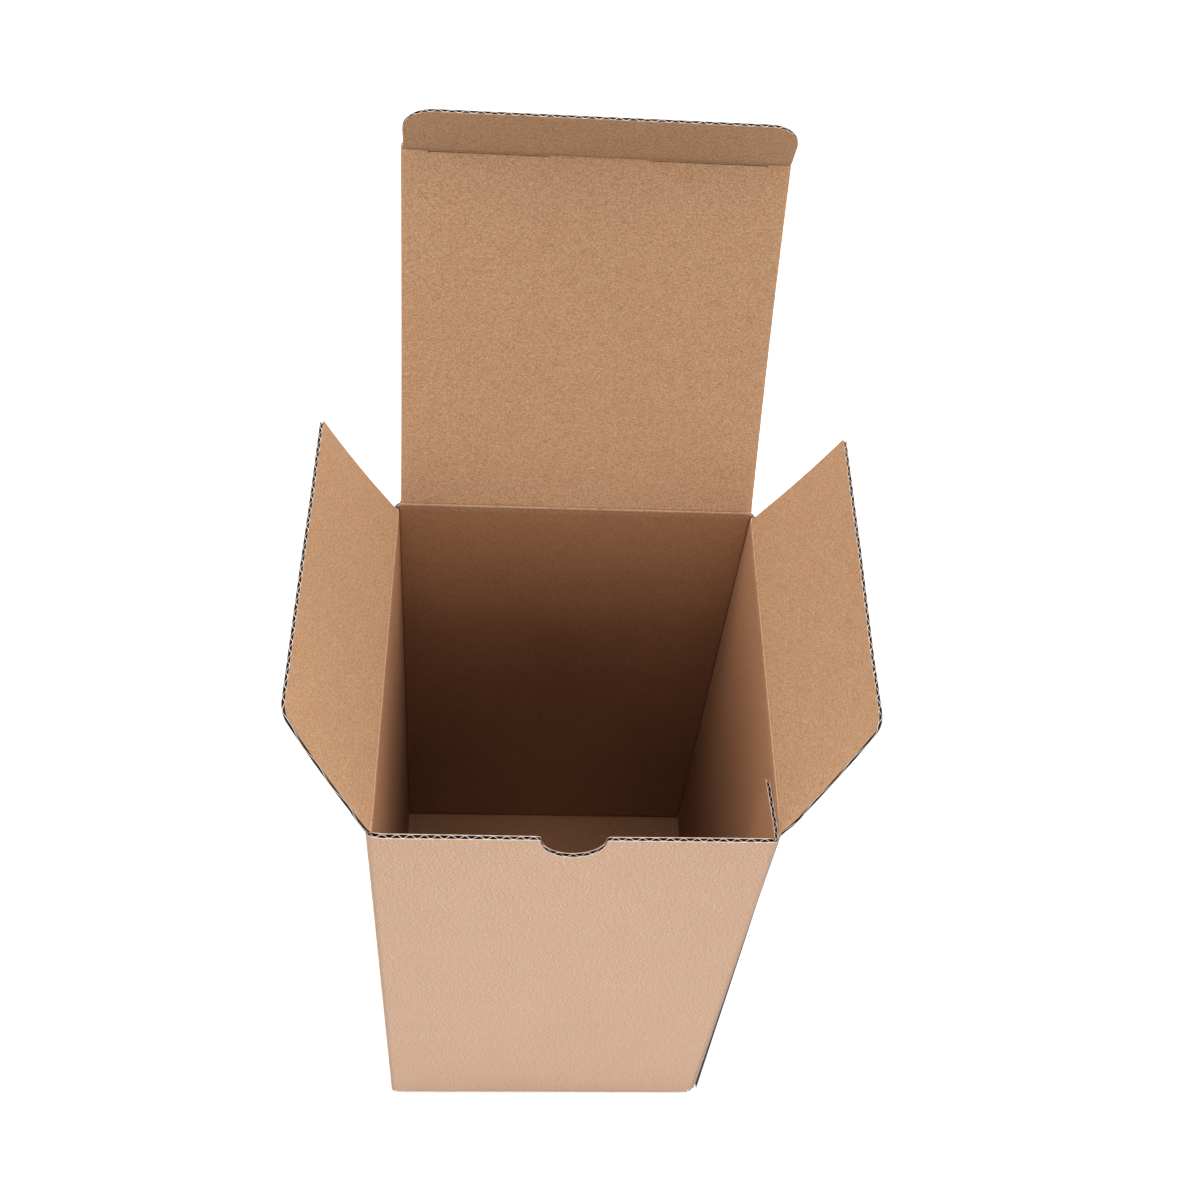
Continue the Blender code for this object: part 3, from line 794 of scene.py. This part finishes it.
class Graph:
    """Short words for making a material's nodes."""

    def __init__(self, material):
        material.use_nodes = True
        self.tree = material.node_tree
        self.tree.nodes.clear()

    def node(self, kind, inputs=None, **settings):
        node = self.tree.nodes.new(kind)
        for key, value in settings.items():
            setattr(node, key, value)
        for key, value in (inputs or {}).items():
            if isinstance(value, bpy.types.NodeSocket):
                self.tree.links.new(value, node.inputs[key])
            else:
                node.inputs[key].default_value = value
        return node

    def noise(self, vector, scale, detail=2.0, rough=0.5):
        return self.node("ShaderNodeTexNoise", {"Vector": vector, "Scale": scale,
                                                "Detail": detail, "Roughness": rough},
                         noise_dimensions="3D").outputs["Fac"]

    def remap(self, value, a, b, low=0.0, high=1.0):
        return self.node("ShaderNodeMapRange", {"Value": value, "From Min": a, "From Max": b,
                                                "To Min": low, "To Max": high}).outputs["Result"]

    def stretch(self, vector, scale, offset=(0.0, 0.0, 0.0)):
        return self.node("ShaderNodeVectorMath", {0: vector, 1: scale, 2: offset},
                         operation="MULTIPLY_ADD").outputs["Vector"]

    def mix(self, factor, a, b, blend="MIX"):
        node = self.node("ShaderNodeMix", data_type="RGBA", blend_type=blend, clamp_factor=True)
        for index, value in ((0, factor), (6, a), (7, b)):
            if isinstance(value, bpy.types.NodeSocket):
                self.tree.links.new(value, node.inputs[index])
            elif index == 0:
                node.inputs[index].default_value = value
            else:
                node.inputs[index].default_value = (*value, 1.0)
        return node.outputs[2]

    def math(self, operation, a, b=0.0, c=0.0):
        return self.node("ShaderNodeMath", {0: a, 1: b, 2: c}, operation=operation).outputs[0]


def shade(colour, by):
    return tuple(c * by for c in colour)


def kraft(name, colour, grain=1.0, speck=0.5, scale=(4.2, 7.2), gloss=0.5):
    """Kraft paper: a fine even grain with its fibres mostly across the flutes, short dark and
    light fibres, faint clouds, and sparse specks."""
    material = bpy.data.materials.new(name)
    g = Graph(material)
    board = g.node("ShaderNodeAttribute", attribute_name="board").outputs["Vector"]

    fine = g.noise(g.stretch(board, (*scale, 1.0)), 1.0, 1.5, 0.6)
    coarse = g.noise(g.stretch(board, (1.5, 3.2, 1.0), (3.0, 9.0, 1.0)), 1.0, 2.0, 0.5)
    # The pale fibres are greyer than the paper, and the hollows between them browner.
    swing = [grain * by for by in (0.37, 0.43, 0.50)]
    tone = g.mix(g.remap(fine, 0.25, 0.75), tuple(c * (1 - by) for c, by in zip(colour, swing)),
                 tuple(c * (1 + by) for c, by in zip(colour, swing)))
    tone = g.mix(g.remap(coarse, 0.3, 0.7, 0.0, 1.0), tone, g.mix(
        1.0, tone, (1 - 0.09 * grain,) * 3, "MULTIPLY"))
    # Single fibres, dark and light.
    strands = g.noise(g.stretch(board, (0.75, 6.0, 1.0), (1.0, 20.0, 0.0)), 1.0, 1.0, 0.5)
    tone = g.mix(g.remap(strands, 0.64, 0.76, 0.0, 0.35 * grain), tone, shade(colour, 0.55))
    light = g.noise(g.stretch(board, (0.9, 6.5, 1.0), (7.0, 3.0, 5.0)), 1.0, 1.0, 0.5)
    tone = g.mix(g.remap(light, 0.64, 0.78, 0.0, 0.35 * grain), tone, shade(colour, 1.45))
    # Clouds of tone and hue.
    cloud = g.noise(board, 0.13, 3.0, 0.55)
    tone = g.mix(g.remap(cloud, 0.35, 0.65, 0.0, 1.0), tone, g.mix(
        1.0, tone, (0.985, 0.965, 0.945), "MULTIPLY"))
    wide = g.noise(g.stretch(board, (1.0, 1.0, 1.0), (40.0, 11.0, 3.0)), 0.022, 2.0, 0.5)
    tone = g.mix(g.remap(wide, 0.35, 0.65, 0.0, 1.0), tone, g.mix(
        1.0, tone, (0.975, 0.975, 0.97), "MULTIPLY"))
    # Dark specks: bits of bark and old print in recycled paper.
    cells = g.node("ShaderNodeTexVoronoi", {"Vector": g.stretch(board, (0.38, 0.55, 1.0)),
                                            "Scale": 1.0, "Randomness": 1.0},
                   feature="F1", voronoi_dimensions="3D")
    dot = g.remap(cells.outputs["Distance"], 0.05, 0.09, 1.0, 0.0)
    tint = g.node("ShaderNodeSeparateColor", {"Color": cells.outputs["Color"]}).outputs["Red"]
    some = g.remap(tint, 0.55, 0.62, 0.0, speck)
    tone = g.mix(g.math("MULTIPLY", dot, some), tone, shade(colour, 0.35))

    # Painted highlight and painted shade from the crease attribute: a pale line painted along the
    # creases, and a dark line painted along the upright folds where the values are negative.
    line = g.node("ShaderNodeAttribute", attribute_name="crease_highlight_and_shade").outputs["Fac"]
    broken = g.remap(g.noise(board, 1.1, 2.0, 0.6), 0.32, 0.5, 0.35, 1.0)
    tone = g.mix(g.math("MULTIPLY", line, broken), tone, shade(colour, 2.0))
    tone = g.mix(g.remap(line, 0.0, -1.0), tone, shade(colour, 0.3))

    rough = g.remap(fine, 0.3, 0.7, 0.80, 0.94)
    height = g.math("ADD", g.math("MULTIPLY", fine, 0.6),
                    g.math("MULTIPLY", strands, 0.4))
    relief = g.node("ShaderNodeBump", {"Height": height, "Strength": 0.35, "Distance": 0.00002})
    shader = g.node("ShaderNodeBsdfPrincipled", {"Base Color": tone, "Roughness": rough,
                                                 "Normal": relief.outputs["Normal"]})
    shader.inputs["Specular IOR Level"].default_value = gloss
    g.node("ShaderNodeOutputMaterial", {"Surface": shader.outputs["BSDF"]})
    material.diffuse_color = (*colour, 1.0)
    return material


def cut_edge(name, colour):
    """The fuzzy cut edge of the paper, where fibres stand out pale and grey."""
    material = bpy.data.materials.new(name)
    g = Graph(material)
    board = g.node("ShaderNodeAttribute", attribute_name="board").outputs["Vector"]
    fuzz = g.noise(board, 4.0, 3.0, 0.65)
    tone = g.mix(g.remap(fuzz, 0.32, 0.68), shade(colour, 0.72), shade(colour, 1.18))
    torn = g.noise(board, 0.7, 2.0, 0.5)
    tone = g.mix(g.remap(torn, 0.45, 0.7, 0.0, 0.55), tone, shade(colour, 0.62))
    relief = g.node("ShaderNodeBump", {"Height": fuzz, "Strength": 0.8, "Distance": 0.00008})
    shader = g.node("ShaderNodeBsdfPrincipled", {"Base Color": tone,
                                                 "Roughness": g.remap(fuzz, 0.3, 0.7, 0.82, 0.97),
                                                 "Normal": relief.outputs["Normal"]})
    shader.inputs["Specular IOR Level"].default_value = 0.15
    g.node("ShaderNodeOutputMaterial", {"Surface": shader.outputs["BSDF"]})
    material.diffuse_color = (*colour, 1.0)
    return material


OUTSIDE = (0.447, 0.288, 0.192)
INSIDE = (0.328, 0.187, 0.101)
# Painted shade: the box's inside liner is a darker, redder copy of the flaps' inside colour, standing
# in for the warm bounced light and shade deep in the box.
BOX_INSIDE_SHADED = (0.320, 0.151, 0.070)
outside = kraft("kraft_outside", OUTSIDE, 1.5, 0.2, (1.8, 4.4))
inside = kraft("kraft_inside", INSIDE, 1.6, 0.5, gloss=0.3)
# Painted-shade copy of the inside liner, for the box's walls.
box_inside_shaded = kraft("kraft_box_inside_painted_shade", BOX_INSIDE_SHADED, 1.3, 0.5)
# Painted shade: the fluting medium and the liners' faces against it are near black, for the shade in
# the flutes' hollows.
flute_hollow_shade = kraft("kraft_flute_hollow_shade", (0.055, 0.038, 0.032), 1.0, 0.5)
edge = cut_edge("cut_liner", (0.56, 0.43, 0.36))
flute_edge = cut_edge("cut_flute", (0.56, 0.44, 0.38))
flap_inner_edge = cut_edge("cut_flap_inner", (0.36, 0.25, 0.175))
flap_outer_edge = cut_edge("cut_flap_outer", (0.36, 0.29, 0.25))
flap_flute_edge = cut_edge("cut_flap_flute", (0.68, 0.61, 0.57))
lid_edge = cut_edge("cut_lid", (0.30, 0.17, 0.11))

# ---------------------------------------------------------------------------------- pieces

BODIES = {"box": ("box_body", [ring, front_flap, tongue, *side_flaps, back_flap]),
          "lid": ("lid_panel", [lid]), "tuck": ("tuck_flap", [tuck]),
          "left_dust": ("left_dust_flap", [left_dust]),
          "right_dust": ("right_dust_flap", [right_dust])}
# In each layer's slots, the box walls' inside face gets the darker painted-shade copy of the inside
# colour, and the faces within the board get the near-black painted shade.
CARTON = {"outer": [outside, flute_hollow_shade, edge], "inner": [box_inside_shaded, flute_hollow_shade, edge],
          "medium": [flute_hollow_shade, flute_edge]}
FLAP = {"outer": [outside, flute_hollow_shade, flap_outer_edge], "inner": [inside, flute_hollow_shade, flap_inner_edge],
        "medium": [flute_hollow_shade, flap_flute_edge]}
LID = {"outer": [outside, flute_hollow_shade, flap_outer_edge], "inner": [inside, flute_hollow_shade, lid_edge],
       "medium": [flute_hollow_shade, lid_edge]}
BOARDS = {"box": CARTON, "lid": LID}


def between(angle):
    """Sideways and upward parts of the way half round a bend."""
    return np.sin(radians(angle)), np.cos(radians(angle))


back, up = between(LID_LEAN / 2)
tip, rise = between(LID_LEAN - TUCK_BEND / 2)
out, raised = between(DUST_SPLAY / 2)
BLENDS = {"lid": ("box", "lid_hinge", (0, back, up)),
          "tuck": ("lid", "tuck_hinge", (0, tip, rise)),
          "left_dust": ("box", "left_dust_hinge", (-out, 0, raised)),
          "right_dust": ("box", "right_dust_hinge", (out, 0, raised))}

for body, (node, sheets) in BODIES.items():
    for kind, materials in BOARDS.get(body, FLAP).items():
        # The box's medium is two pieces, the walls' and the bottom flaps', so neither is heavy.
        groups = {body: sheets}
        if (body, kind) == ("box", "medium"):
            groups = {"box": sheets[:1], "bottom": sheets[1:]}
        for name, group in groups.items():
            piece = Piece(f"{name}_{kind}", materials)
            for sheet in group:
                sheet.layer(piece, kind)
            obj = piece.finish()
            if body in BLENDS:
                before, joint, way = BLENDS[body]
                way = np.array(way) * BEND * 0.001
                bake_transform(obj)
            else:
                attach(obj, body)
            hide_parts(node)

# ------------------------------------------------------------------- floor, light and camera


def studio_floor():
    mesh = bpy.data.meshes.new("floor")
    half = 6.0
    mesh.from_pydata([(-half, -half, -0.0003), (half, -half, -0.0003), (half, half, -0.0003),
                      (-half, half, -0.0003)], [], [(0, 1, 2, 3)])
    floor = bpy.data.objects.new("floor", mesh)
    bpy.context.scene.collection.objects.link(floor)
    material = bpy.data.materials.new("floor_white")
    g = Graph(material)
    # Far from the carton the floor turns into the studio's white backdrop.
    place = g.node("ShaderNodeNewGeometry").outputs["Position"]
    away = g.node("ShaderNodeVectorMath", {0: place}, operation="LENGTH").outputs["Value"]
    ray = g.node("ShaderNodeLightPath").outputs["Is Camera Ray"]
    glow = g.math("MULTIPLY", g.remap(away, 0.35, 1.3), ray)
    shader = g.node("ShaderNodeBsdfPrincipled", {"Emission Strength": glow})
    shader.inputs["Emission Color"].default_value = (1, 1, 1, 1)
    shader.inputs["Base Color"].default_value = (0.93, 0.93, 0.93, 1)
    shader.inputs["Roughness"].default_value = 0.9
    shader.inputs["Specular IOR Level"].default_value = 0.1
    g.node("ShaderNodeOutputMaterial", {"Surface": shader.outputs["BSDF"]})
    mesh.materials.append(material)


def softbox(name, at, towards, size, power, colour=(1, 1, 1)):
    light = bpy.data.lights.new(name, "AREA")
    light.shape = "RECTANGLE"
    light.size, light.size_y = size
    light.energy = power
    light.color = colour
    obj = bpy.data.objects.new(name, light)
    obj.location = at
    obj.rotation_euler = (Vector(towards) - Vector(at)).to_track_quat("-Z", "Y").to_euler()
    obj.visible_camera = False
    bpy.context.scene.collection.objects.link(obj)
    return obj


studio_floor()
middle = (0.0, 0.03, 0.17)
softbox("left_low", (-0.6, 0.0, 0.35), middle, (0.5, 0.5), 0.4)
softbox("left", (-0.6, 0.0, 0.60), middle, (0.5, 0.5), 6.6)
softbox("right_low", (0.6, 0.0, 0.35), middle, (0.5, 0.5), 2.1)
softbox("right", (0.6, 0.0, 0.60), middle, (0.5, 0.5), 5.1)
softbox("right_high", (0.6, 0.0, 0.95), middle, (0.5, 0.5), 0.4)
softbox("front", (0.0, -0.9, 0.60), middle, (0.5, 0.5), 0.7)
softbox("front_near", (0.0, -0.45, 0.25), middle, (0.3, 0.3), 1.0)
softbox("overhead", (0.0, -0.1, 1.0), middle, (0.6, 0.6), 3.8)
softbox("behind", (0.0, 0.6, 0.9), middle, (0.5, 0.5), 4.3)

# A dim, even sky lights the scene; what is seen of it past the floor is white, as a studio
# backdrop is.
sky = bpy.data.worlds.new("studio")
g = Graph(sky)
ray = g.node("ShaderNodeLightPath").outputs["Is Camera Ray"]
background = g.node("ShaderNodeBackground", {"Strength": g.remap(ray, 0.0, 1.0, 0.08, 1.0)})
background.inputs["Color"].default_value = (1, 1, 1, 1)
g.node("ShaderNodeOutputWorld", {"Surface": background.outputs["Background"]})
bpy.context.scene.world = sky
bpy.context.scene.view_settings.view_transform = "Standard"
bpy.context.scene.view_settings.look = "None"

PITCH, YAW, ROLL = np.radians(53.678), np.radians(6.9146), np.radians(7.0070)
forward = np.array([np.sin(YAW) * np.cos(PITCH), np.cos(YAW) * np.cos(PITCH), -np.sin(PITCH)])
across = np.array([np.cos(YAW), -np.sin(YAW), 0.0])
upward = np.cross(across, forward)
side = np.cos(ROLL) * across + np.sin(ROLL) * upward
top = -np.sin(ROLL) * across + np.cos(ROLL) * upward
lens = bpy.data.cameras.new("camera")
lens.sensor_fit, lens.sensor_width, lens.lens = "AUTO", 36.0, 1626.19 / 1200 * 36
camera = bpy.data.objects.new("camera", lens)
matrix = Matrix.Identity(4)
for column, axis in enumerate((side, top, -forward)):
    for row in range(3):
        matrix[row][column] = axis[row]
matrix.translation = Vector(world((26.930, -188.446, 539.298)))
camera.matrix_world = matrix
bpy.context.scene.collection.objects.link(camera)
bpy.context.scene.camera = camera
lens.clip_start, lens.clip_end = 0.01, 50.0

bpy.context.view_layer.update()
